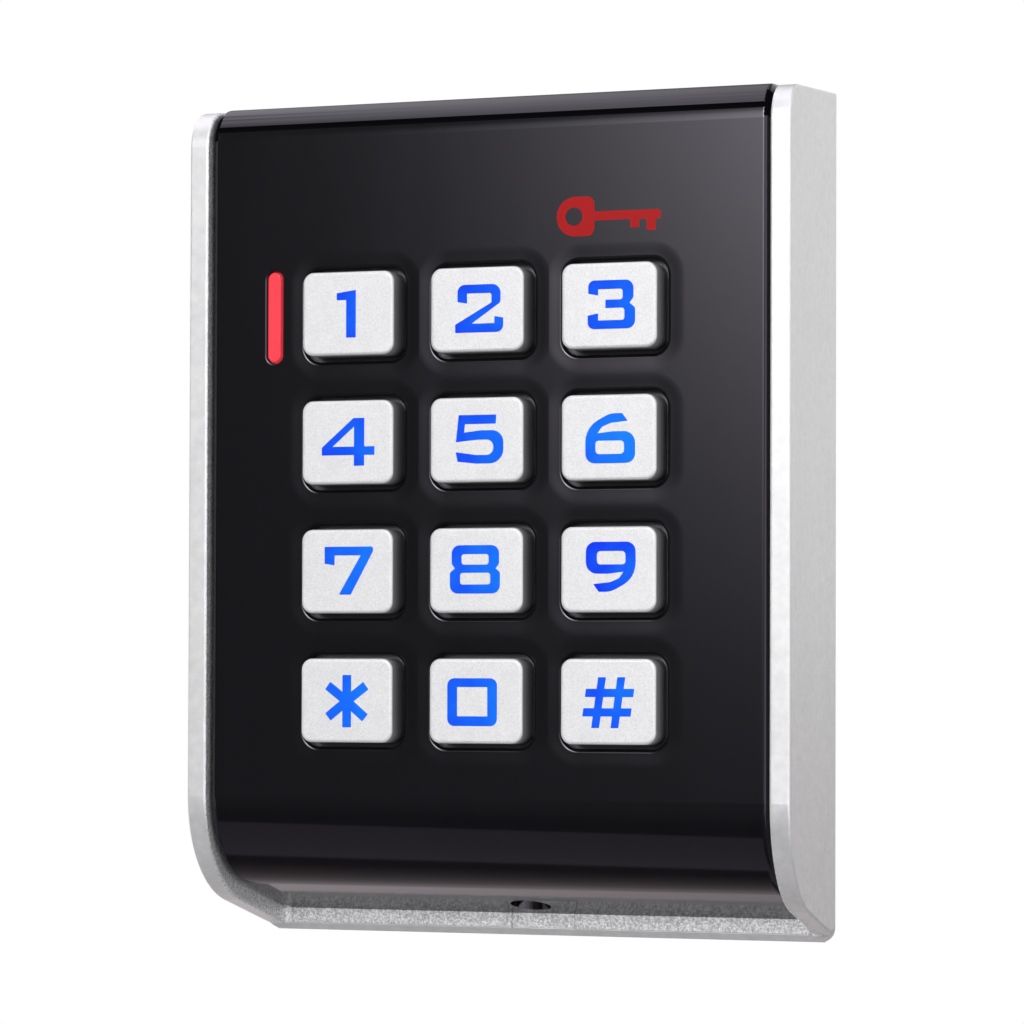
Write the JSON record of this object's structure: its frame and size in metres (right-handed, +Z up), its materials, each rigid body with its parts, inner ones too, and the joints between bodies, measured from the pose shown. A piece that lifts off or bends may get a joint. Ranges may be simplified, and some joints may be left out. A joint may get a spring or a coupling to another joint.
{
  "type": "keypad access reader",
  "caption": "Wall-mounted access reader with a black front panel between silver cheeks, lit square keys, a status light bar and a screw-locked back plate.",
  "frame": {"origin": "centre of the back face, on the wall", "axes": "+Y points into the wall, so the keys face -Y; +Z is up the wall and +X is to the right of someone facing the keys"},
  "size_m": [0.084, 0.0275, 0.1136],
  "materials": {
    "silver_frame": "silver paint with a fine metallic grain",
    "gloss_panel": "polished piano black",
    "silver_plate": "silver paint with a fine metallic grain",
    "black_cover": "fine moulded texture",
    "red_light": "lit red diffuser",
    "led": "clear LED package",
    "silicone": "milky silicone",
    "carbon": "carbon-filled",
    "copper_wire": "enamelled copper winding",
    "board": "solder resist",
    "chip": "moulded epoxy",
    "metal_can": "satin",
    "capacitor_sleeve": "shrink sleeve",
    "header_plastic": "natural nylon",
    "steel": "zinc plated",
    "keycap": "satin silver-white with lit blue legends",
    "legend": "lit blue legend in the face of a key",
    "red_mark": "screen-printed red mark"
  },
  "bodies": {
    "reader": {"housing_frame": "silver_frame", "front_panel": "gloss_panel", "back_plate": "silver_plate", "rear_cover": "black_cover", "light_bar": "red_light", "status_leds": "led", "backlight_leds": "led", "keypad_mat": "silicone", "antenna_coil": "copper_wire", "circuit_board": "board", "controller_chip": "chip", "reader_chip": "chip", "voltage_regulator": "chip", "crystal": "metal_can", "power_capacitor": "capacitor_sleeve", "buzzer": "black_cover", "wire_header": "header_plastic", "tamper_switch": "black_cover", "board_screws": "steel", "frame_screws": "steel", "closing_screw": "steel"},
    "key_1": {"key_1": "keycap", "key_1_plunger": "silicone", "key_1_pill": "carbon"},
    "key_2": {"key_2": "keycap", "key_2_plunger": "silicone", "key_2_pill": "carbon"},
    "key_3": {"key_3": "keycap", "key_3_plunger": "silicone", "key_3_pill": "carbon"},
    "key_4": {"key_4": "keycap", "key_4_plunger": "silicone", "key_4_pill": "carbon"},
    "key_5": {"key_5": "keycap", "key_5_plunger": "silicone", "key_5_pill": "carbon"},
    "key_6": {"key_6": "keycap", "key_6_plunger": "silicone", "key_6_pill": "carbon"},
    "key_7": {"key_7": "keycap", "key_7_plunger": "silicone", "key_7_pill": "carbon"},
    "key_8": {"key_8": "keycap", "key_8_plunger": "silicone", "key_8_pill": "carbon"},
    "key_9": {"key_9": "keycap", "key_9_plunger": "silicone", "key_9_pill": "carbon"},
    "key_star": {"key_star": "keycap", "key_star_plunger": "silicone", "key_star_pill": "carbon"},
    "key_0": {"key_0": "keycap", "key_0_plunger": "silicone", "key_0_pill": "carbon"},
    "key_hash": {"key_hash": "keycap", "key_hash_plunger": "silicone", "key_hash_pill": "carbon"},
    "tamper_plunger": {"tamper_plunger": "header_plastic"}
  },
  "joints": [
    {"name": "press_1", "type": "slide", "parent": "reader", "child": "key_1", "axis": [0, 1, 0], "range_m": [0, 0.0012], "stiffness_N_per_m": 600, "springref_m": -0.0003},
    {"name": "press_2", "type": "slide", "parent": "reader", "child": "key_2", "axis": [0, 1, 0], "range_m": [0, 0.0012], "stiffness_N_per_m": 600, "springref_m": -0.0003},
    {"name": "press_3", "type": "slide", "parent": "reader", "child": "key_3", "axis": [0, 1, 0], "range_m": [0, 0.0012], "stiffness_N_per_m": 600, "springref_m": -0.0003},
    {"name": "press_4", "type": "slide", "parent": "reader", "child": "key_4", "axis": [0, 1, 0], "range_m": [0, 0.0012], "stiffness_N_per_m": 600, "springref_m": -0.0003},
    {"name": "press_5", "type": "slide", "parent": "reader", "child": "key_5", "axis": [0, 1, 0], "range_m": [0, 0.0012], "stiffness_N_per_m": 600, "springref_m": -0.0003},
    {"name": "press_6", "type": "slide", "parent": "reader", "child": "key_6", "axis": [0, 1, 0], "range_m": [0, 0.0012], "stiffness_N_per_m": 600, "springref_m": -0.0003},
    {"name": "press_7", "type": "slide", "parent": "reader", "child": "key_7", "axis": [0, 1, 0], "range_m": [0, 0.0012], "stiffness_N_per_m": 600, "springref_m": -0.0003},
    {"name": "press_8", "type": "slide", "parent": "reader", "child": "key_8", "axis": [0, 1, 0], "range_m": [0, 0.0012], "stiffness_N_per_m": 600, "springref_m": -0.0003},
    {"name": "press_9", "type": "slide", "parent": "reader", "child": "key_9", "axis": [0, 1, 0], "range_m": [0, 0.0012], "stiffness_N_per_m": 600, "springref_m": -0.0003},
    {"name": "press_star", "type": "slide", "parent": "reader", "child": "key_star", "axis": [0, 1, 0], "range_m": [0, 0.0012], "stiffness_N_per_m": 600, "springref_m": -0.0003},
    {"name": "press_0", "type": "slide", "parent": "reader", "child": "key_0", "axis": [0, 1, 0], "range_m": [0, 0.0012], "stiffness_N_per_m": 600, "springref_m": -0.0003},
    {"name": "press_hash", "type": "slide", "parent": "reader", "child": "key_hash", "axis": [0, 1, 0], "range_m": [0, 0.0012], "stiffness_N_per_m": 600, "springref_m": -0.0003},
    {"name": "tamper_release", "type": "slide", "parent": "reader", "child": "tamper_plunger", "axis": [0, 1, 0], "range_m": [0, 0.0015], "stiffness_N_per_m": 300, "springref_m": 0.002}
  ]
}
